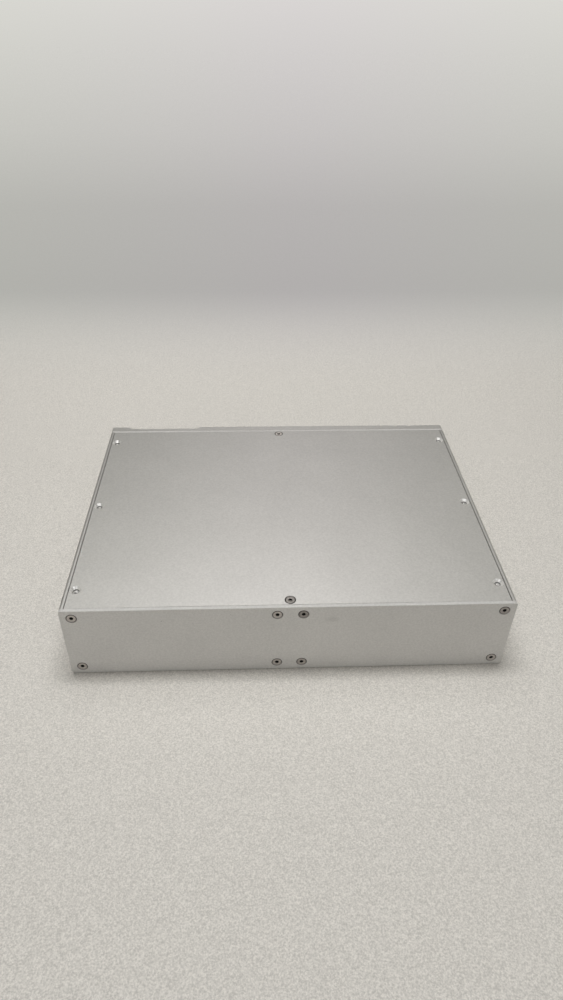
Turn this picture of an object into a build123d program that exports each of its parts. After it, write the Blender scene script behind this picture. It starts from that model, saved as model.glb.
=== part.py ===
# Low equipment case: two extruded side rails and a central divider, two end panels and two let-in covers,
# all held by countersunk socket screws. Millimetres, +Z up, origin on the floor under the middle of the case,
# with the plain rear panel towards -Y and the decorated front panel towards +Y.

import os

from build123d import *

# Overall sizes
width = 250.0
height = 50.0
rail_length = 182.0
rear_thickness = 2.0
front_thickness = 7.0
cover_thickness = 2.0

# Rails and divider
rail_wall = 2.5
web_thickness = 3.0
outer_radius = 1.5
boss_radius = 0.8
port_spacing = 14.3
port_roof = 2.0
port_wall = 1.9
port_slot = 1.4

# Covers
cover_side_gap = 0.25
cover_end_gap = 0.15
cover_edge_break = 0.25
hole_land = 0.35
cover_hole_end = 14.6
cover_hole_rows = 3

# End panels
panel_edge_break = 0.2
front_inner_chamfer = 1.2
recess_inset = 12.8
recess_width = 52.5
recess_depth = 2.5
recess_slope = 1.8
flute_inset = 24.6
flute_pitch = 10.75
flute_count = 3
flute_width = 2.2
flute_depth = 1.6

# Countersunk socket screws
thread_d = 3.0
thread_gap = 0.05
clear_d = 3.6
head_d = 5.6
head_rim = 0.2
countersink_d = 6.3
seat_gap = 0.03
socket_flats = 2.0
socket_depth = 1.2
tip_chamfer = 0.4
panel_engagement = 7.0
cover_engagement = 4.0
tip_room = 1.5

# Tools are carried this far past a surface, so that a cut leaves no skin
overcut = 1.0

# Places along the case
depth = rear_thickness + rail_length + front_thickness
rear_face = -depth / 2
rail_rear = rear_face + rear_thickness
rail_front = rail_rear + rail_length
front_face = depth / 2
rail_middle = (rail_rear + rail_front) / 2

# Places of the ports that take the end screws, and of the cover holes beside them
tapped_d = thread_d + 2 * thread_gap
edge_room = cover_edge_break + hole_land + countersink_d / 2
port_inset = rail_wall + cover_side_gap + edge_room
port_drop = cover_thickness + port_roof + tapped_d / 2
boss_reach = port_inset + tapped_d / 2 + port_wall
boss_top = port_drop + tapped_d / 2 + port_wall
flange_reach = port_spacing / 2 + tapped_d / 2 + port_wall
rail_port_x = width / 2 - port_inset
divider_hole_end = cover_end_gap + edge_room

# A head's cone rests on its seat, which leaves its face just under the surface
head_sink = (countersink_d - head_d) / 2 - head_rim - seat_gap
cover_hole_depth = head_sink + cover_engagement + tip_room

# Which way a screw or a hole points, from its head or mouth
from_rear = Rot(X=90)
from_front = Rot(X=-90)
from_top = Rot()
from_below = Rot(X=180)


def spread(first, last, count):
    return [first + (last - first) * i / (count - 1) for i in range(count)]


port_heights = [port_drop, height - port_drop]
rail_ports = [(x, z) for x in (-rail_port_x, rail_port_x) for z in port_heights]
divider_ports = [(x, z) for x in (-port_spacing / 2, port_spacing / 2) for z in port_heights]
cover_rows = spread(rail_rear + cover_hole_end, rail_front - cover_hole_end, cover_hole_rows)
rail_holes = [(x, y) for x in (-rail_port_x, rail_port_x) for y in cover_rows]
divider_holes = [(0, rail_rear + divider_hole_end), (0, rail_front - divider_hole_end)]


# Screws and the holes that take them, along -Z from the surface at Z = 0

def turned(points):
    return revolve(make_face(Plane.XZ * Polyline(*points, close=True)), Axis.Z)


def screw(length):
    head_r = head_d / 2
    shank_r = thread_d / 2
    cone_end = head_rim + head_r - shank_r
    body = turned([
        (0, 0),
        (head_r, 0),
        (head_r, -head_rim),
        (shank_r, -cone_end),
        (shank_r, tip_chamfer - length),
        (shank_r - tip_chamfer, -length),
        (0, -length),
    ])
    socket = extrude(RegularPolygon(socket_flats / 2, 6, major_radius=False), -socket_depth)
    return Pos(Z=-head_sink) * (body - socket)


def countersunk_hole(thickness):
    sink_r = countersink_d / 2
    hole_r = clear_d / 2
    return turned([
        (0, overcut),
        (sink_r, overcut),
        (sink_r, 0),
        (hole_r, hole_r - sink_r),
        (hole_r, -thickness - overcut),
        (0, -thickness - overcut),
    ])


def tapped_hole():
    return Pos(Z=-cover_hole_depth / 2) * Cylinder(tapped_d / 2, cover_hole_depth)


def at_rear(ports):
    return [Pos(x, rear_face, z) * from_rear for x, z in ports]


def at_front(ports):
    return [Pos(x, front_face, z) * from_front for x, z in ports]


def on_top(holes, drop=0):
    return [Pos(x, y, height - drop) * from_top for x, y in holes]


def underneath(holes, drop=0):
    return [Pos(x, y, drop) * from_below for x, y in holes]


def screw_set(places, length):
    return Compound([place * screw(length) for place in places])


# Extrusions, drawn in X and Z and run from the front end of the rails to the rear end

def extruded(section):
    return extrude(Plane.XZ.offset(-rail_front) * section, rail_length)


def band(x_low, x_high, z_low, z_high):
    return Pos((x_low + x_high) / 2, (z_low + z_high) / 2) * Rectangle(x_high - x_low, z_high - z_low)


def port(x, z, mouth_x):
    low, high = sorted((x, mouth_x))
    return Pos(x, z) * Circle(tapped_d / 2) + band(low, high, z - port_slot / 2, z + port_slot / 2)


def corners(section, x, heights):
    return [v for v in section.vertices() if abs(v.X - x) < 1e-6 and min(abs(v.Y - z) for z in heights) < 1e-6]


def left_rail_section():
    outer = -width / 2
    wall_x = outer + rail_wall
    boss_x = outer + boss_reach
    bosses = [(cover_thickness, boss_top), (height - boss_top, height - cover_thickness)]
    section = band(outer, wall_x, 0, height)
    for low, high in bosses:
        section += band(outer, boss_x, low, high)
    section = fillet(corners(section, outer, [0, height]), outer_radius)
    inner_edges = [boss_top, height - boss_top]
    rounded = corners(section, wall_x, inner_edges) + corners(section, boss_x, inner_edges)
    section = fillet(rounded, boss_radius)
    for z in port_heights:
        section -= port(-rail_port_x, z, boss_x)
    return section


def left_side_rail():
    rail = extruded(left_rail_section())
    left_holes = [(x, y) for x, y in rail_holes if x < 0]
    for place in on_top(left_holes, cover_thickness) + underneath(left_holes, cover_thickness):
        rail -= place * tapped_hole()
    return rail


def right_side_rail():
    return mirror(left_side_rail(), Plane.YZ)


def divider_section():
    half_web = web_thickness / 2
    section = band(-half_web, half_web, cover_thickness, height - cover_thickness)
    section += band(-flange_reach, flange_reach, cover_thickness, boss_top)
    section += band(-flange_reach, flange_reach, height - boss_top, height - cover_thickness)
    inner_edges = [boss_top, height - boss_top]
    rounded = []
    for x in (-flange_reach, -half_web, half_web, flange_reach):
        rounded += corners(section, x, inner_edges)
    section = fillet(rounded, boss_radius)
    for x, z in divider_ports:
        section -= port(x, z, flange_reach if x > 0 else -flange_reach)
    return section


def center_divider():
    divider = extruded(divider_section())
    for place in on_top(divider_holes, cover_thickness) + underneath(divider_holes, cover_thickness):
        divider -= place * tapped_hole()
    return divider


# End panels, with the outline of the case

def panel_blank(y_outer, thickness, towards):
    outline = Pos(0, height / 2) * RectangleRounded(width, height, outer_radius)
    return extrude(Plane.XZ.offset(-y_outer) * outline, -thickness * towards)


def rear_panel():
    panel = panel_blank(rear_face, rear_thickness, 1)
    panel = chamfer(panel.faces().sort_by(Axis.Y)[0].edges(), panel_edge_break)
    for place in at_rear(rail_ports + divider_ports):
        panel -= place * countersunk_hole(rear_thickness)
    return panel


def front_inner_bevel(z_edge, inwards):
    bevel = Polyline(
        (rail_front, z_edge),
        (rail_front + front_inner_chamfer, z_edge),
        (rail_front, z_edge + inwards * front_inner_chamfer),
        close=True,
    )
    return extrude(Plane.YZ * make_face(bevel), width / 2, both=True)


def front_recess():
    lip = -width / 2 + recess_inset
    outline = Polyline(
        (lip, front_face),
        (lip + recess_slope, front_face - recess_depth),
        (lip + recess_width - recess_slope, front_face - recess_depth),
        (lip + recess_width, front_face),
        close=True,
    )
    return extrude(make_face(outline), height)


def front_flute(x):
    flute_r = flute_width / 2
    round_y = front_face - flute_depth + flute_r
    outline = Pos(x, round_y) * Circle(flute_r)
    outline += band(x - flute_r, x + flute_r, round_y, front_face + overcut)
    return extrude(outline, height)


def front_panel():
    panel = panel_blank(front_face, front_thickness, -1)
    panel = chamfer(panel.faces().sort_by(Axis.Y)[-1].edges(), panel_edge_break)
    panel -= front_inner_bevel(height, -1)
    panel -= front_inner_bevel(0, 1)
    panel -= front_recess()
    for i in range(flute_count):
        panel -= front_flute(width / 2 - flute_inset - i * flute_pitch)
    for place in at_front(rail_ports + divider_ports):
        panel -= place * countersunk_hole(front_thickness)
    return panel


# Covers, let in flush between the rail lips and the end panels

def top_plate():
    across = width - 2 * (rail_wall + cover_side_gap)
    along = rail_length - 2 * cover_end_gap
    plate = Pos(0, rail_middle, height - cover_thickness / 2) * Box(across, along, cover_thickness)
    plate = chamfer(plate.faces().sort_by(Axis.Z)[-1].edges(), cover_edge_break)
    for place in on_top(rail_holes + divider_holes):
        plate -= place * countersunk_hole(cover_thickness)
    return plate


def underside_plate():
    return mirror(top_plate(), Plane.XY.offset(height / 2))


rear_screw_length = rear_thickness + panel_engagement
front_screw_length = front_thickness + panel_engagement
cover_screw_length = cover_thickness + cover_engagement

nodes = {
    "front_panel": front_panel(),
    "rear_panel": rear_panel(),
    "left_side_rail": left_side_rail(),
    "right_side_rail": right_side_rail(),
    "center_divider": center_divider(),
    "top_plate": top_plate(),
    "underside_plate": underside_plate(),
    "rear_corner_screws": screw_set(at_rear(rail_ports), rear_screw_length),
    "rear_divider_screws": screw_set(at_rear(divider_ports), rear_screw_length),
    "front_corner_screws": screw_set(at_front(rail_ports), front_screw_length),
    "front_divider_screws": screw_set(at_front(divider_ports), front_screw_length),
    "top_divider_screws": screw_set(on_top(divider_holes), cover_screw_length),
    "underside_rail_screws": screw_set(underneath(rail_holes), cover_screw_length),
    "underside_divider_screws": screw_set(underneath(divider_holes), cover_screw_length),
}

os.makedirs("parts", exist_ok=True)
for name, shape in nodes.items():
    export_step(shape, os.path.join("parts", name + ".step"))
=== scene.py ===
import math

import bmesh
import bpy
from mathutils import Matrix, Quaternion, Vector


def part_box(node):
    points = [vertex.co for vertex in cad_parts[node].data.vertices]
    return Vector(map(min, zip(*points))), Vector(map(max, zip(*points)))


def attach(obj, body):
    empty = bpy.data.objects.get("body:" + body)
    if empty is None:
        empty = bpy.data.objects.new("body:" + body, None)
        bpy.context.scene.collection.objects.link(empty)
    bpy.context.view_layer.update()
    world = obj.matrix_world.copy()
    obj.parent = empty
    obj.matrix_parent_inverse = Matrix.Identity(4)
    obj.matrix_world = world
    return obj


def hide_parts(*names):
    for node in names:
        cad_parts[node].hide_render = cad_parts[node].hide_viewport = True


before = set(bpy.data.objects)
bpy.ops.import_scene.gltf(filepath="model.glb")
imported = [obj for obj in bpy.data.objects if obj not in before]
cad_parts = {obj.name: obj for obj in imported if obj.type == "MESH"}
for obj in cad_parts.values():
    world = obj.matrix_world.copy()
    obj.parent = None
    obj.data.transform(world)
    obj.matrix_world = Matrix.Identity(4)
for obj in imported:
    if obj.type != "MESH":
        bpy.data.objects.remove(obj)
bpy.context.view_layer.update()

scene = bpy.context.scene
mm = 0.001
body = "root"
touch = 0.001  # points nearer than this to a level lie on it, in the unit that the piece is drawn in
levelNormal = 0.99  # a face with at least this share of its normal along Z is level
print("case loaded:", len(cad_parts), "nodes")


# selecting and editing

def makeActive(piece):
    bpy.ops.object.select_all(action="DESELECT")
    piece.select_set(True)
    bpy.context.view_layer.objects.active = piece


def openEdit(piece, mode):
    makeActive(piece)
    bpy.ops.object.mode_set(mode="EDIT")
    bpy.ops.mesh.select_mode(type=mode)


def closeEdit():
    bpy.ops.object.mode_set(mode="OBJECT")


def pickEdges(test):  # edges of the open mesh with both ends where the test says
    bpy.ops.mesh.select_all(action="DESELECT")
    data = bpy.context.object.data
    mesh = bmesh.from_edit_mesh(data)
    for edge in mesh.edges:
        if all(test(vert.co) for vert in edge.verts):
            edge.select_set(True)
    bmesh.update_edit_mesh(data)


def pickFaces(test):  # faces of the open mesh, by centre and normal
    bpy.ops.mesh.select_all(action="DESELECT")
    data = bpy.context.object.data
    mesh = bmesh.from_edit_mesh(data)
    for face in mesh.faces:
        if test(face.calc_center_median(), face.normal):
            face.select_set(True)
    bmesh.update_edit_mesh(data)


def pickRims():  # the open edges
    bpy.ops.mesh.select_all(action="DESELECT")
    bpy.ops.mesh.select_non_manifold(
        extend=False, use_wire=False, use_boundary=True,
        use_multi_face=False, use_non_contiguous=False, use_verts=False)


def extrudePicked(offset, scale=1.0):  # carries the picked part on, and narrows or widens it about Z
    bpy.ops.mesh.extrude_region_move(TRANSFORM_OT_translate={"value": offset})
    if scale != 1.0:
        bpy.ops.transform.resize(value=(scale, scale, 1), center_override=(0, 0, 0))


def applyModifier(piece, kind, **settings):
    makeActive(piece)
    modifier = piece.modifiers.new(kind.lower(), kind)
    for key, value in settings.items():
        setattr(modifier, key, value)
    bpy.ops.object.modifier_apply(modifier=modifier.name)


def startProfile(name, points):  # one vertex drawn out into a line in the XZ plane
    bpy.ops.object.select_all(action="DESELECT")
    bpy.ops.mesh.primitive_plane_add(size=1)
    piece = bpy.context.object
    piece.name = name
    openEdit(piece, "VERT")
    bpy.ops.mesh.select_all(action="SELECT")
    bpy.ops.mesh.merge(type="CENTER")
    bpy.ops.transform.translate(value=(points[0][0], 0, points[0][1]))
    for (r, z), (nextR, nextZ) in zip(points, points[1:]):
        extrudePicked((nextR - r, 0, nextZ - z))
    return piece


def weldPoints(piece, gap):
    openEdit(piece, "VERT")
    bpy.ops.mesh.select_all(action="SELECT")
    bpy.ops.mesh.remove_doubles(threshold=gap)
    bpy.ops.mesh.normals_make_consistent(inside=False)
    closeEdit()


def smoothFaces(piece, angle):
    makeActive(piece)
    bpy.ops.object.shade_smooth_by_angle(angle=angle)


def placeCopy(master, name, place):  # a copy with its own mesh, its place applied to it
    piece = master.copy()
    piece.data = master.data.copy()
    piece.name = name
    piece.data.name = name
    scene.collection.objects.link(piece)
    piece.matrix_world = place
    makeActive(piece)
    bpy.ops.object.transform_apply(location=True, rotation=True, scale=True)
    return piece


def spread(low, high, count):
    if count == 1:
        return [(low + high) / 2]
    return [low + (high - low) * i / (count - 1) for i in range(count)]


# node trees

noiseBand = (0.3, 0.7)  # most of a noise's values lie in this band, and nearly all in the wide one
wideBand = (0.25, 0.75)


def newMaterial(name):
    material = bpy.data.materials.new(name)
    material.use_nodes = True
    tree = material.node_tree
    return material, tree, tree.nodes["Principled BSDF"]


def setInput(tree, socket, value):
    if isinstance(value, bpy.types.NodeSocket):
        tree.links.new(value, socket)
    else:
        socket.default_value = value


def addNode(tree, kind, inputs=None, **settings):
    node = tree.nodes.new(kind)
    for key, value in settings.items():
        setattr(node, key, value)
    for key, value in (inputs or {}).items():
        setInput(tree, node.inputs[key], value)
    return node


def mathNode(tree, operation, first, second=0.5, third=0.5, clamp=False):
    inputs = {0: first, 1: second, 2: third}
    return addNode(tree, "ShaderNodeMath", inputs, operation=operation, use_clamp=clamp).outputs[0]


def rangeNode(tree, value, fromLow, fromHigh, toLow=0.0, toHigh=1.0, smooth=False):
    inputs = {"Value": value, "From Min": fromLow, "From Max": fromHigh, "To Min": toLow, "To Max": toHigh}
    kind = "SMOOTHSTEP" if smooth else "LINEAR"
    return addNode(tree, "ShaderNodeMapRange", inputs, interpolation_type=kind).outputs["Result"]


def mixColour(tree, factor, first, second, blend="MIX"):
    node = addNode(tree, "ShaderNodeMix", data_type="RGBA", blend_type=blend)
    for index, value in ((0, factor), (6, first), (7, second)):
        setInput(tree, node.inputs[index], value)
    return node.outputs[2]


def noiseNode(tree, place, size, detail=2.0, rough=0.5):
    inputs = {"Vector": place, "Scale": 1 / size, "Detail": detail, "Roughness": rough}
    return addNode(tree, "ShaderNodeTexNoise", inputs).outputs["Fac"]


def shade(colour):
    return (*colour, 1.0)


def scaleColour(tree, colour, amount):  # makes a colour evenly brighter or darker
    if isinstance(amount, bpy.types.NodeSocket):
        amount = addNode(tree, "ShaderNodeCombineColor", {0: amount, 1: amount, 2: amount}).outputs[0]
    else:
        amount = shade([amount] * 3)
    return mixColour(tree, 1.0, colour, amount, "MULTIPLY")


def splitAxes(tree, vector):
    return addNode(tree, "ShaderNodeSeparateXYZ", {0: vector}).outputs


def bumpNode(tree, height, depth, share=1.0):
    inputs = {"Strength": share, "Distance": depth, "Height": height}
    return addNode(tree, "ShaderNodeBump", inputs).outputs[0]


def dressShader(tree, shader, colour, rough, metallic, bump):
    setInput(tree, shader.inputs["Base Color"], colour)
    setInput(tree, shader.inputs["Roughness"], rough)
    setInput(tree, shader.inputs["Metallic"], metallic)
    setInput(tree, shader.inputs["Normal"], bump)


# where the screws stand, read from their nodes

screwShape = {
    "headRadius": 2.8,
    "socketSides": 6,
    "socketFlats": 2.0,
    "socketDepth": 1.2,
    "drillRadius": 0.62,
    "drillDepth": 0.38,
    "drillPoint": 0.08,
    "mouthRadius": 1.2,
    "mouthDepth": 0.1,
    "sides": 48,
    # radius and height of each ring, from the face over the rounded rim and down the cone
    "rings": [
        (2.42, 0.0), (2.58, -0.03), (2.7, -0.1), (2.78, -0.2), (2.8, -0.24), (1.56, -1.48), (1.44, -1.6),
    ],
    "threadTop": -1.75,
    "pitch": 0.5,
    "rootRadius": 1.2,
    "crestRadius": 1.47,
    # heights in a turn where it leaves its root, starts and ends its crest, and is back at its root
    "flanks": (0.07, 0.22, 0.31, 0.46),
    "turnSteps": 20,
    "spareTurns": 3,
    "tip": 0.4,
    "tipScale": 0.74,
    "threadWeld": 0.002,
    "weld": 0.0005,
    "smoothAngle": math.radians(32),
}
# which way each set's heads face, how many stand along X, Y and Z, and a brightness for each one's steel,
# which on the rear and top heads is painted light and shade and on the rest a spread of tone
screwSets = {
    "rear_corner_screws": {"faces": "-Y", "rows": (2, 1, 2), "tones": (0.92, 0.99, 0.96, 0.69)},
    "rear_divider_screws": {"faces": "-Y", "rows": (2, 1, 2), "tones": (0.92, 0.91, 0.89, 0.56)},
    "front_corner_screws": {"faces": "+Y", "rows": (2, 1, 2), "tones": (0.92, 0.98, 0.86, 0.94)},
    "front_divider_screws": {"faces": "+Y", "rows": (2, 1, 2), "tones": (0.96, 0.78, 0.92, 0.88)},
    "top_divider_screws": {"faces": "+Z", "rows": (1, 2, 1), "tones": (0.56, 1.02)},
    "underside_rail_screws": {
        "faces": "-Z", "rows": (2, 3, 1), "tones": (0.94, 0.86, 0.98, 0.92, 0.80, 0.96),
    },
    "underside_divider_screws": {"faces": "-Z", "rows": (1, 2, 1), "tones": (0.90, 0.97)},
}
headTurns = {"+Z": 0.0, "-Z": math.pi, "-Y": math.pi / 2, "+Y": -math.pi / 2}


def screwPlaces(node):  # the middle of each head's face, and the screws' length
    low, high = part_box(node)
    faces, rows = screwSets[node]["faces"], screwSets[node]["rows"]
    along = "XYZ".index(faces[1])
    inset = screwShape["headRadius"] * mm
    lines = [spread(low[i] + inset, high[i] - inset, rows[i]) for i in range(3)]
    lines[along] = [high[along] if faces[0] == "+" else low[along]]
    places = [Vector((x, y, z)) for x in lines[0] for y in lines[1] for z in lines[2]]
    return places, high[along] - low[along]


def seatsOf(*nodes):
    return [place for node in nodes for place in screwPlaces(node)[0]]


# blasted and anodised aluminium, with bare bright metal where the cutters came last

blastedFinish = {
    "colour": (0.625, 0.615, 0.596),
    "colourLow": (0.597, 0.588, 0.570),
    "grain": {"size": 0.32 * mm, "detail": 3.0, "rough": 0.6},
    "grainTone": (0.965, 1.03),
    "grainDepth": 0.010 * mm,
    "peel": {"size": 1.1 * mm},
    "peelTone": (0.94, 1.06),
    "mottle": {"size": 34 * mm, "detail": 3.0, "rough": 0.55},
    "handled": {"size": 9 * mm, "detail": 4.0, "rough": 0.6},
    "roughness": 0.42,
    "roughnessSpan": 0.025,
}
# the rear panel is blasted coarser, and its broad faces are painted paler than its edges, which is painted
# light
matteFinish = {"tone": 1.04, "extraRoughness": 0.20, "metallic": 0.50, "litFacing": (0.5, 0.9)}
machinedFinish = {
    "colour": (0.96, 0.95, 0.93),
    "roughness": 0.28,
    "scatter": 0.06,  # share of the light that the tool's fine rings scatter in an open countersink
    "seatShadeColour": (0.30, 0.285, 0.27),  # painted shade in the groove round a screw's head
    # painted shade: the bore walls are coloured dark
    "boreShadeColour": (0.34, 0.335, 0.325),
    "reach": 3.5 * mm,  # cut metal lies this near to the middle of a hole's mouth
    "coneSlope": 0.97,  # a countersink's normal lies less than this along the drill, and a bore's less still
    "boreSlope": 0.25,
}
smudge = {"centre": (23.1 * mm, 40.2 * mm), "reach": (5.5 * mm, 2.6 * mm), "depth": 0.10}
specks = [
    (-70.5 * mm, 41.2 * mm, 0.38 * mm),
    (-32.6 * mm, 45.4 * mm, 0.30 * mm),
    (-14.0 * mm, 26.9 * mm, 0.32 * mm),
]
speckDepth = 0.55
grime = (0.06, 0.055, 0.05)
dieLines = {"noise": {"size": 0.55 * mm}, "run": 0.004, "depth": 0.006 * mm}
# a rail's rounded corner is painted greyer, which is painted shade, between these slopes to the side
railCornerShade = {"tone": 0.80, "from": (0.08, 0.32), "to": (0.90, 0.99)}


def darkenAt(tree, colour, across, up, centre, reach, depth):  # a soft darker spot on an XZ face
    dx = mathNode(tree, "DIVIDE", mathNode(tree, "SUBTRACT", across, centre[0]), reach[0])
    dz = mathNode(tree, "DIVIDE", mathNode(tree, "SUBTRACT", up, centre[1]), reach[1])
    square = mathNode(tree, "MULTIPLY_ADD", dx, dx, mathNode(tree, "MULTIPLY", dz, dz))
    spot = rangeNode(tree, square, 0.0, 1.0, depth, 0.0, smooth=True)
    return mixColour(tree, spot, colour, shade(grime))


def closeTo(tree, place, holes):  # 1 within reach of a hole's mouth, 0 elsewhere
    nearest = 1.0  # metres, further than any hole is
    for hole in holes:
        away = addNode(tree, "ShaderNodeVectorMath", {0: place, 1: hole}, operation="DISTANCE")
        nearest = mathNode(tree, "MINIMUM", away.outputs["Value"], nearest)
    return mathNode(tree, "LESS_THAN", nearest, machinedFinish["reach"])


def blastedAluminium(name, cutAxis=None, seats=(), openHoles=(), matte=False, extruded=False):
    finish = blastedFinish
    material, tree, shader = newMaterial(name)
    coords = addNode(tree, "ShaderNodeTexCoord").outputs
    place = coords["Object"]
    normal = splitAxes(tree, coords["Normal"])
    grain = noiseNode(tree, place, **finish["grain"])
    peel = noiseNode(tree, place, **finish["peel"])
    mottle = noiseNode(tree, place, **finish["mottle"])
    handled = noiseNode(tree, place, **finish["handled"])

    mottleShare = rangeNode(tree, mottle, *noiseBand)
    colour = mixColour(tree, mottleShare, shade(finish["colourLow"]), shade(finish["colour"]))
    grainTone = rangeNode(tree, grain, *noiseBand, *finish["grainTone"])
    peelTone = rangeNode(tree, peel, *noiseBand, *finish["peelTone"])
    colour = scaleColour(tree, colour, mathNode(tree, "MULTIPLY", grainTone, peelTone))
    height = grain
    grainShare = 1.0
    metallic = 1.0
    baseRough = finish["roughness"]

    if matte:  # with a thumb mark and a few specks
        # painted light: faces turned along Y are made paler than the edges
        litFacing = rangeNode(tree, mathNode(tree, "ABSOLUTE", normal[1]), *matteFinish["litFacing"])
        colour = mixColour(tree, litFacing, colour, scaleColour(tree, colour, matteFinish["tone"]))
        metallic = matteFinish["metallic"]
        baseRough += matteFinish["extraRoughness"]
        across, _, up = splitAxes(tree, place)
        colour = darkenAt(tree, colour, across, up, smudge["centre"], smudge["reach"], smudge["depth"])
        for x, z, reach in specks:
            colour = darkenAt(tree, colour, across, up, (x, z), (reach, reach), speckDepth)
    rough = rangeNode(tree, handled, *wideBand, baseRough, baseRough + finish["roughnessSpan"])

    if extruded:  # with fine lines that the die leaves along the rail
        stretch = addNode(tree, "ShaderNodeMapping", {"Vector": place, "Scale": (1, dieLines["run"], 1)})
        lines = noiseNode(tree, stretch.outputs[0], **dieLines["noise"])
        height = mathNode(tree, "MULTIPLY_ADD", lines, dieLines["depth"] / finish["grainDepth"], grain)
        # painted shade: the rounded corner between these slopes is coloured greyer
        sideways = mathNode(tree, "ABSOLUTE", normal[0])
        leaving = rangeNode(tree, sideways, *railCornerShade["from"])
        arriving = rangeNode(tree, sideways, *railCornerShade["to"], 1.0, 0.0)
        cornerShade = mathNode(tree, "MULTIPLY", leaving, arriving)
        colour = mixColour(tree, cornerShade, colour, scaleColour(tree, colour, railCornerShade["tone"]))

    if cutAxis is not None:  # countersinks slope to the drill's axis, and bores run along it
        cutter = machinedFinish
        slope = mathNode(tree, "ABSOLUTE", normal[cutAxis])
        screwed = closeTo(tree, place, seats)
        drilled = mathNode(tree, "MAXIMUM", screwed, closeTo(tree, place, openHoles))
        cut = mathNode(tree, "MULTIPLY", mathNode(tree, "LESS_THAN", slope, cutter["coneSlope"]), drilled)
        shadedBore = mathNode(tree, "LESS_THAN", slope, cutter["boreSlope"])
        # painted shade: the countersink seat round a screw's head is coloured dark grey
        bare = mixColour(tree, screwed, shade(cutter["colour"]), shade(cutter["seatShadeColour"]))
        # painted shade: the walls of each bore are coloured dark
        bare = mixColour(tree, shadedBore, bare, shade(cutter["boreShadeColour"]))
        colour = mixColour(tree, cut, colour, bare)
        rough = mathNode(tree, "MULTIPLY_ADD", cut, cutter["roughness"] - baseRough, rough)
        grainShare = mathNode(tree, "SUBTRACT", 1.0, cut)
        if openHoles:
            openCut = mathNode(tree, "SUBTRACT", cut, screwed, clamp=True)
            metallic = mathNode(tree, "MULTIPLY_ADD", openCut, -cutter["scatter"], 1.0)

    bump = bumpNode(tree, height, finish["grainDepth"], grainShare)
    dressShader(tree, shader, colour, rough, metallic, bump)
    return material


rearSeats = seatsOf("rear_corner_screws", "rear_divider_screws")
frontSeats = seatsOf("front_corner_screws", "front_divider_screws")
coverSeats = seatsOf("top_divider_screws")
floorSeats = seatsOf("underside_rail_screws", "underside_divider_screws")
railTop, coverTop = [corner.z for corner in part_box("top_plate")]
openHoles = [Vector((place.x, place.y, coverTop)) for place in seatsOf("underside_rail_screws")]
finishes = {
    "top_plate": blastedAluminium("coverFinish", cutAxis=2, seats=coverSeats, openHoles=openHoles),
    "underside_plate": blastedAluminium("floorPlateFinish", cutAxis=2, seats=floorSeats),
    "rear_panel": blastedAluminium("rearPanelFinish", cutAxis=1, seats=rearSeats, matte=True),
    "front_panel": blastedAluminium("frontPanelFinish", cutAxis=1, seats=frontSeats),
}
railFinish = blastedAluminium("railFinish", extruded=True)
for node in ("left_side_rail", "right_side_rail", "center_divider"):
    finishes[node] = railFinish
for node, finish in finishes.items():
    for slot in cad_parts[node].material_slots:
        slot.material = finish
print("aluminium finished:", len(finishes), "nodes")


# countersunk socket screws, drawn in millimetres with the head's face at Z = 0 and the tip below

screwTwists = [8, 41, 23, 55, 14, 36]  # degrees, so that neighbouring heads stop at different angles


def screwHead():
    shape = screwShape
    corner = shape["socketFlats"] / 2 / math.cos(math.pi / shape["socketSides"])
    bpy.ops.object.select_all(action="DESELECT")
    bpy.ops.mesh.primitive_circle_add(
        vertices=shape["socketSides"], radius=corner, fill_type="NGON",
        location=(0, 0, -shape["socketDepth"]))
    head = bpy.context.object
    head.name = "screwHead"
    bpy.ops.object.transform_apply(location=True)
    openEdit(head, "FACE")
    bpy.ops.mesh.select_all(action="SELECT")
    # the drill's point in the socket's floor
    bpy.ops.mesh.inset(thickness=shape["socketFlats"] / 2 - shape["drillRadius"])
    extrudePicked((0, 0, -shape["drillDepth"]), shape["drillPoint"])
    # the socket's six walls, with a chamfer from them to its round mouth
    bpy.ops.mesh.select_mode(type="EDGE")
    pickRims()
    extrudePicked((0, 0, shape["socketDepth"] - shape["mouthDepth"]))
    bpy.ops.mesh.subdivide(number_cuts=shape["sides"] // shape["socketSides"] - 1)
    bpy.ops.mesh.select_all(action="DESELECT")
    bpy.ops.mesh.primitive_circle_add(
        vertices=shape["sides"], radius=shape["mouthRadius"], fill_type="NOTHING")
    wallTop = -shape["mouthDepth"] - touch
    pickEdges(lambda co: co.z > wallTop)
    bpy.ops.mesh.bridge_edge_loops()
    # the face, the rounded rim and the cone
    radius, height = shape["mouthRadius"], 0.0
    pickEdges(lambda co: abs(co.z) < touch)
    for nextRadius, nextHeight in shape["rings"]:
        extrudePicked((0, 0, nextHeight - height), nextRadius / radius)
        radius, height = nextRadius, nextHeight
    closeEdit()
    return head


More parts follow.
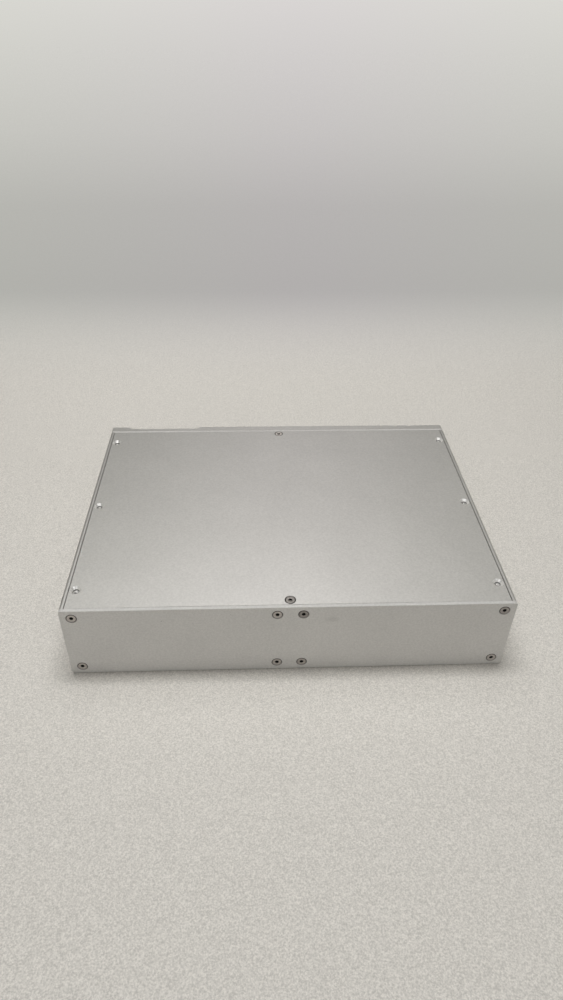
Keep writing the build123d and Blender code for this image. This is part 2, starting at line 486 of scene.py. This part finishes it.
def screwThread(length):
    shape = screwShape
    root, crest, pitch = shape["rootRadius"], shape["crestRadius"], shape["pitch"]
    top, bottom = shape["threadTop"], shape["tip"] - length
    turns = math.ceil((top - bottom) / pitch) + shape["spareTurns"]
    start = bottom - pitch * shape["spareTurns"] / 2
    leave, crestStart, crestEnd, meet = shape["flanks"]
    profile = [
        (root, 0.0), (root, leave), (crest, crestStart), (crest, crestEnd), (root, meet), (root, pitch)]
    thread = startProfile("screwThread", [(r, start + z) for r, z in profile])
    closeEdit()
    applyModifier(thread, "SCREW", axis="Z", angle=math.tau, screw_offset=pitch, iterations=turns,
                  steps=shape["turnSteps"], render_steps=shape["turnSteps"], use_smooth_shade=False)
    weldPoints(thread, shape["threadWeld"])
    openEdit(thread, "FACE")
    bpy.ops.mesh.select_all(action="SELECT")
    bpy.ops.mesh.bisect(plane_co=(0, 0, top), plane_no=(0, 0, 1), clear_outer=True)
    bpy.ops.mesh.select_all(action="SELECT")
    bpy.ops.mesh.bisect(plane_co=(0, 0, bottom), plane_no=(0, 0, -1), clear_outer=True, use_fill=True)
    pickFaces(lambda centre, normal: abs(centre.z - bottom) < touch and abs(normal.z) > levelNormal)
    extrudePicked((0, 0, -shape["tip"]), shape["tipScale"])
    closeEdit()
    return thread


def markPoints(piece, name, values):  # a number at each point of the mesh, which the steel reads
    attribute = piece.data.attributes.new(name, "FLOAT", "POINT")
    attribute.data.foreach_set("value", values)


def modelScrew(length):
    head = screwHead()
    thread = screwThread(length)
    makeActive(head)
    thread.select_set(True)
    bpy.ops.object.join()
    openEdit(head, "EDGE")
    pickRims()
    bpy.ops.mesh.bridge_edge_loops()
    closeEdit()
    weldPoints(head, screwShape["weld"])
    smoothFaces(head, screwShape["smoothAngle"])
    points = [point.co for point in head.data.vertices]
    markPoints(head, "axisDistance", [math.hypot(co.x, co.y) for co in points])
    markPoints(head, "faceDepth", [-co.z for co in points])
    head.name = "screw%02d" % round(length)
    return head


# radii and depths in the screw's own millimetres
screwSteelFinish = {
    "colour": (0.56, 0.52, 0.485),
    "metallic": 0.7,
    "roughness": 0.46,
    "roughnessSpan": 0.12,
    "stain": {"size": 1.1 * mm, "detail": 3.0, "rough": 0.6},
    "stainTone": (0.86, 1.06),
    # painted shade: a dark ring on the head's rounded rim
    "rimShadeColour": (0.035, 0.033, 0.031),
    "rimShadeRadius": (2.40, 2.58),
    "ringSize": 0.16,
    "ringDepth": 0.0015 * mm,
    # painted shade: the socket's walls are coloured near black between these depths and radii
    "socketShade": (0.02, 0.019, 0.018),
    "socketShadeRoughness": 0.3,
    "socketShadeDepth": (0.02, 0.12),
    "socketRadius": (1.17, 1.3),
    "socketFloor": (1.1, 1.2),
}


def screwSteel(name, litSocketFloor=False):
    finish = screwSteelFinish
    material, tree, shader = newMaterial(name)
    radius, depth, headLight = [
        addNode(tree, "ShaderNodeAttribute", attribute_name=mark).outputs["Fac"]
        for mark in ("axisDistance", "faceDepth", "headLightTone")]
    place = addNode(tree, "ShaderNodeTexCoord").outputs["Object"]
    stain = noiseNode(tree, place, **finish["stain"])
    stainTone = rangeNode(tree, stain, *noiseBand, *finish["stainTone"])
    # each head's steel is scaled by its own brightness, painted light and shade on the rear and top heads
    colour = scaleColour(tree, shade(finish["colour"]), mathNode(tree, "MULTIPLY", stainTone, headLight))
    # painted shade: the socket walls are coloured near black, and the cover screws' socket floors are left
    # unpainted
    inner = rangeNode(tree, radius, *finish["socketRadius"], 1.0, 0.0)
    deep = rangeNode(tree, depth, *finish["socketShadeDepth"])
    if litSocketFloor:
        deep = mathNode(tree, "SUBTRACT", deep, rangeNode(tree, depth, *finish["socketFloor"]))
    socketShade = mathNode(tree, "MULTIPLY", inner, deep)
    colour = mixColour(tree, socketShade, colour, shade(finish["socketShade"]))
    # painted shade: the head's rim is coloured near black
    rimShade = rangeNode(tree, radius, *finish["rimShadeRadius"])
    colour = mixColour(tree, rimShade, colour, shade(finish["rimShadeColour"]))
    ring = mathNode(tree, "SINE", mathNode(tree, "MULTIPLY", radius, math.tau / finish["ringSize"]))
    dullest = finish["roughness"] + finish["roughnessSpan"]
    rough = rangeNode(tree, stain, *wideBand, finish["roughness"], dullest)
    rough = mathNode(tree, "MULTIPLY_ADD", socketShade, finish["socketShadeRoughness"], rough)
    dressShader(tree, shader, colour, rough, finish["metallic"], bumpNode(tree, ring, finish["ringDepth"]))
    return material


steel = screwSteel("screwSteel")
coverSteel = screwSteel("coverScrewSteel", litSocketFloor=True)
masters = {}
screwCount = 0
for node, settings in screwSets.items():
    places, length = screwPlaces(node)
    key = round(length / mm)
    if key not in masters:
        masters[key] = modelScrew(length / mm)
        masters[key].data.materials.append(steel)
    turn = Matrix.Rotation(headTurns[settings["faces"]], 4, "X")
    for i, place in enumerate(places):
        twist = Matrix.Rotation(math.radians(screwTwists[screwCount % len(screwTwists)]), 4, "Z")
        size = Matrix.Scale(mm, 4)
        seat = Matrix.Translation(place) @ turn @ twist @ size
        screw = placeCopy(masters[key], "%s_%d" % (node, i + 1), seat)
        markPoints(screw, "headLightTone", [settings["tones"][i]] * len(screw.data.vertices))
        if settings["faces"] == "+Z":
            screw.data.materials[0] = coverSteel
        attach(screw, body)
        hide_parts(node)
        screwCount += 1
for master in masters.values():
    bpy.data.objects.remove(master)
print("screws fitted:", screwCount)


# threads cut in the rails under the open cover holes, drawn in millimetres with the rail's top at Z = 0

railThread = {
    "wallRadius": 1.545,
    "crestRadius": 1.27,
    "pitch": 0.5,
    "rootGap": 0.04,
    "flat": 0.05,
    "turns": 2.6,
    "steps": 32,
    "topGap": 0.06,
    "profileWeld": 0.001,
    "weld": 0.0005,
    "smoothAngle": math.radians(30),
    "colour": (0.93, 0.92, 0.90),
    "metallic": 0.8,
    "roughness": 0.20,
}


def threadFinish():
    material, _, shader = newMaterial("cutThread")
    shader.inputs["Base Color"].default_value = shade(railThread["colour"])
    shader.inputs["Metallic"].default_value = railThread["metallic"]
    shader.inputs["Roughness"].default_value = railThread["roughness"]
    return material


def modelRailThread():
    shape = railThread
    wall, crest, flat = shape["wallRadius"], shape["crestRadius"], shape["flat"] / 2
    width = shape["pitch"] - shape["rootGap"]
    climb = shape["pitch"] * shape["turns"]
    lowest = -shape["topGap"] - width - climb
    middle = width / 2
    profile = [(wall, 0.0), (wall, width), (crest, middle + flat), (crest, middle - flat), (wall, 0.0)]
    thread = startProfile("railThread", [(r, lowest + z) for r, z in profile])
    bpy.ops.mesh.select_all(action="SELECT")
    bpy.ops.mesh.remove_doubles(threshold=shape["profileWeld"])
    closeEdit()
    steps = round(shape["steps"] * shape["turns"])
    applyModifier(thread, "SCREW", axis="Z", angle=math.tau * shape["turns"], screw_offset=climb,
                  iterations=1, steps=steps, render_steps=steps, use_smooth_shade=False)
    openEdit(thread, "EDGE")
    pickRims()
    bpy.ops.mesh.fill_holes(sides=len(profile) - 1)
    closeEdit()
    weldPoints(thread, shape["weld"])
    smoothFaces(thread, shape["smoothAngle"])
    return thread


threadMaster = modelRailThread()
threadMaster.data.materials.append(threadFinish())
for i, hole in enumerate(openHoles):
    mouth = Matrix.Translation((hole.x, hole.y, railTop))
    thread = placeCopy(threadMaster, "rail_thread_%d" % (i + 1), mouth @ Matrix.Scale(mm, 4))
    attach(thread, body)
bpy.data.objects.remove(threadMaster)
print("rail threads cut:", len(openHoles))


# pale floor that runs up into a curved backdrop

backdrop = {
    "floorFront": -4.0,
    "floorDrop": 0.35 * mm,  # the case rests on the tops of the paper's grain
    "bendStart": 0.125,
    "bendRadius": 0.29,
    "bendSteps": 24,
    "halfWidth": 3.0,
    "wallHeight": 1.25,
    "weld": 0.0001,
    "colour": (0.605, 0.582, 0.540),
    "roughness": 0.75,
    "metallic": 0.0,
    "specular": 0.2,
    "grain": {"size": 0.7 * mm, "rough": 0.6},
    "grainDepth": 0.055 * mm,
    "grainTone": (0.78, 1.22),
    "wallGrainTone": (0.97, 1.03),
    "centreTint": (1.0, 0.965, 0.95),
    "sideTint": (1.0, 0.995, 0.93),
    "tintReach": (0.02, 0.3),
    "wallRise": (0.012, 0.075),  # the floor turns into the glowing wall between these heights
    # height of the wall in metres, and how bright it looks there
    "tones": [
        (0.0, 0.56), (0.03, 0.55), (0.075, 0.44), (0.14, 0.47), (0.20, 0.56),
        (0.27, 0.64), (0.40, 0.80), (0.55, 1.05), (0.90, 1.05), (1.25, 0.80),
    ],
    # only the metal shows the wall's dimmer sides and its dark ends, each of which
    # starts and ends at these distances from the middle and goes down to this share
    "middle": 0.03,
    "sideFade": (0.03, 0.26, 0.70),
    "sideEnd": (0.22, 0.42, 0.52),
    "sideEndTop": (0.28, 0.50),  # the dark ends reach up to here
    # further off than this, the floor and the wall are as pale as the room
    "floorFade": (0.45, 0.85),
    "wallFade": (0.60, 1.2),
    "awayTone": (0.54, 0.529, 0.502),
}


def wallTones(tree, height):  # how bright the wall looks at each height
    tones = backdrop["tones"]
    top = tones[-1][0]
    ramp = addNode(tree, "ShaderNodeValToRGB", {0: rangeNode(tree, height, 0.0, top)})
    stops = ramp.color_ramp.elements
    while len(stops) < len(tones):
        stops.new(0.5)
    for stop, (level, bright) in zip(stops, tones):
        stop.position = level / top
        stop.color = shade([bright] * 3)
    return ramp.outputs[0]


def wallSides(tree, across, height, mirrored):  # the share of light that the wall keeps to its sides
    look = backdrop
    near, far, dim = look["sideFade"]
    fade = rangeNode(tree, across, near, far, 1.0, dim, smooth=True)
    near, far, dim = look["sideEnd"]
    low = rangeNode(tree, height, *look["sideEndTop"], 1 - dim, 0.0, smooth=True)
    dark = mathNode(tree, "MULTIPLY", rangeNode(tree, across, near, far, smooth=True), low)
    fade = mathNode(tree, "MULTIPLY", fade, mathNode(tree, "SUBTRACT", 1.0, dark))
    return rangeNode(tree, mirrored, 0.0, 1.0, 1.0, fade)


def paperFinish():
    look = backdrop
    material, tree, shader = newMaterial("palePaper")
    place = addNode(tree, "ShaderNodeTexCoord").outputs["Object"]
    rays = addNode(tree, "ShaderNodeLightPath").outputs
    x, _, height = splitAxes(tree, place)
    across = mathNode(tree, "ABSOLUTE", mathNode(tree, "SUBTRACT", x, look["middle"]))
    grain = noiseNode(tree, place, **look["grain"])
    tone = rangeNode(tree, grain, *noiseBand, *look["grainTone"])
    colour = scaleColour(tree, shade(look["colour"]), tone)
    bump = bumpNode(tree, grain, look["grainDepth"])
    dressShader(tree, shader, colour, look["roughness"], look["metallic"], bump)
    shader.inputs["Specular IOR Level"].default_value = look["specular"]

    reach = rangeNode(tree, across, *look["tintReach"])
    tint = mixColour(tree, reach, shade(look["centreTint"]), shade(look["sideTint"]))
    glow = mixColour(tree, 1.0, wallTones(tree, height), tint, "MULTIPLY")
    clouds = rangeNode(tree, grain, *noiseBand, *look["wallGrainTone"])
    sides = wallSides(tree, across, height, rays["Is Glossy Ray"])
    glow = scaleColour(tree, glow, mathNode(tree, "MULTIPLY", sides, clouds))
    distance = addNode(tree, "ShaderNodeVectorMath", {0: place}, operation="LENGTH").outputs["Value"]
    wall = rangeNode(tree, height, *look["wallRise"], smooth=True)
    start = rangeNode(tree, wall, 0.0, 1.0, look["floorFade"][0], look["wallFade"][0])
    end = rangeNode(tree, wall, 0.0, 1.0, look["floorFade"][1], look["wallFade"][1])
    away = rangeNode(tree, distance, start, end, smooth=True)
    glow = mixColour(tree, away, glow, shade(look["awayTone"]))
    emission = addNode(tree, "ShaderNodeEmission", {"Color": glow})
    seen = mathNode(tree, "ADD", rays["Is Camera Ray"], rays["Is Glossy Ray"], clamp=True)
    share = mathNode(tree, "MULTIPLY", seen, mathNode(tree, "MAXIMUM", wall, away))
    mix = addNode(tree, "ShaderNodeMixShader", {0: share, 1: shader.outputs[0], 2: emission.outputs[0]})
    tree.links.new(mix.outputs[0], tree.nodes["Material Output"].inputs["Surface"])
    return material


def modelBackdrop():
    look = backdrop
    front, start, radius = look["floorFront"], look["bendStart"], look["bendRadius"]
    bpy.ops.object.select_all(action="DESELECT")
    bpy.ops.mesh.primitive_plane_add(size=1)
    sweep = bpy.context.object
    sweep.name = "backdrop"
    sweep.scale = (2 * look["halfWidth"], start - front, 1)
    sweep.location = (0, (start + front) / 2, 0)
    bpy.ops.object.transform_apply(location=True, scale=True)
    openEdit(sweep, "EDGE")
    pickEdges(lambda co: co.y > start - touch)
    bpy.ops.mesh.spin(
        steps=look["bendSteps"], angle=-math.pi / 2, center=(0, start, radius), axis=(1, 0, 0))
    wallPlace = start + radius
    pickEdges(lambda co: abs(co.y - wallPlace) < touch)
    extrudePicked((0, 0, look["wallHeight"] - radius))
    bpy.ops.mesh.select_all(action="SELECT")
    bpy.ops.transform.translate(value=(0, 0, -look["floorDrop"]))
    closeEdit()
    weldPoints(sweep, look["weld"])
    bpy.ops.object.shade_smooth()
    sweep.data.materials.append(paperFinish())


modelBackdrop()
print("backdrop set")


# a lamp above that the metal doesn't mirror, a broad strip behind, a fill in front of the rear panel,
# and two softboxes over the camera that the bright edges and the countersinks show

lamps = {
    "overhead": {
        "place": (-0.02, 0.025, 1.15), "aim": (-0.02, 0.025, 0.0), "size": (0.6, 0.2), "power": 7.6,
        "mirrored": False,
    },
    "backStrip": {
        "place": (-0.05, 0.30, 0.88), "aim": (-0.02, -0.08, 0.05), "size": (0.60, 0.52), "power": 2.2,
        "mirrored": True,
    },
    "frontFill": {
        "place": (-0.35, -1.30, 0.45), "aim": (0.0, 0.0, 0.03), "size": (1.6, 0.8), "power": 2.1,
        "mirrored": True,
    },
    "softboxLeft": {
        "place": (-0.40, -0.62, 1.05), "aim": (0.0, 0.0, 0.05), "size": (0.45, 0.6), "power": 1.1,
        "mirrored": True,
    },
    "softboxRight": {
        "place": (0.46, -0.62, 1.05), "aim": (0.0, 0.0, 0.05), "size": (0.45, 0.6), "power": 1.1,
        "mirrored": True,
    },
}
# the room lights everything evenly at its strength, while the camera and the metal see it pale near the
# horizon, dimmer as it rises, and pale at the ceiling
roomLight = {
    "colour": (1.0, 0.98, 0.93),
    "strength": 0.16,
    "pale": 0.54,
    "dim": 0.17,
    "rise": (0.35, 0.70),
    "ceiling": 0.85,
    "ceilingRise": (0.80, 0.95),
}


def hangLamp(name, settings):
    place = Vector(settings["place"])
    bpy.ops.object.light_add(type="AREA", location=place)
    lamp = bpy.context.object
    lamp.name = name
    lamp.data.shape = "RECTANGLE"
    lamp.data.size, lamp.data.size_y = settings["size"]
    lamp.data.energy = settings["power"]
    lamp.visible_glossy = settings["mirrored"]
    lamp.rotation_euler = (Vector(settings["aim"]) - place).to_track_quat("-Z", "Y").to_euler()


def lightRoom():
    light = roomLight
    room = bpy.data.worlds.new("room")
    room.use_nodes = True
    tree = room.node_tree
    background = tree.nodes["Background"]
    background.inputs["Color"].default_value = shade(light["colour"])
    rays = addNode(tree, "ShaderNodeLightPath").outputs
    seen = mathNode(tree, "ADD", rays["Is Camera Ray"], rays["Is Glossy Ray"], clamp=True)
    rise = splitAxes(tree, addNode(tree, "ShaderNodeTexCoord").outputs["Generated"])[2]
    glow = rangeNode(tree, rise, *light["rise"], light["pale"], light["dim"], smooth=True)
    glow = rangeNode(tree, rise, *light["ceilingRise"], glow, light["ceiling"], smooth=True)
    strength = rangeNode(tree, seen, 0.0, 1.0, light["strength"], glow)
    tree.links.new(strength, background.inputs["Strength"])
    scene.world = room


for name, settings in lamps.items():
    hangLamp(name, settings)
lightRoom()
scene.view_settings.view_transform = "Standard"
print("lamps hung:", len(lamps))


# camera, solved from the case's corners and screws

view = {
    "place": (-0.01935, -0.36007, 0.32085),
    "towards": (0.04003, 0.79983, -0.59890),
    "roll": math.radians(1.007),
    "lens": 24.925,
    "sensor": 36.0,
    "nearest": 0.01,
}
bpy.ops.object.camera_add(location=view["place"])
camera = bpy.context.object
camera.rotation_mode = "QUATERNION"
level = Vector(view["towards"]).to_track_quat("-Z", "Y")
camera.rotation_quaternion = level @ Quaternion((0, 0, 1), view["roll"])
camera.data.lens = view["lens"]
camera.data.sensor_width = view["sensor"]
camera.data.clip_start = view["nearest"]
scene.camera = camera
print("camera placed")
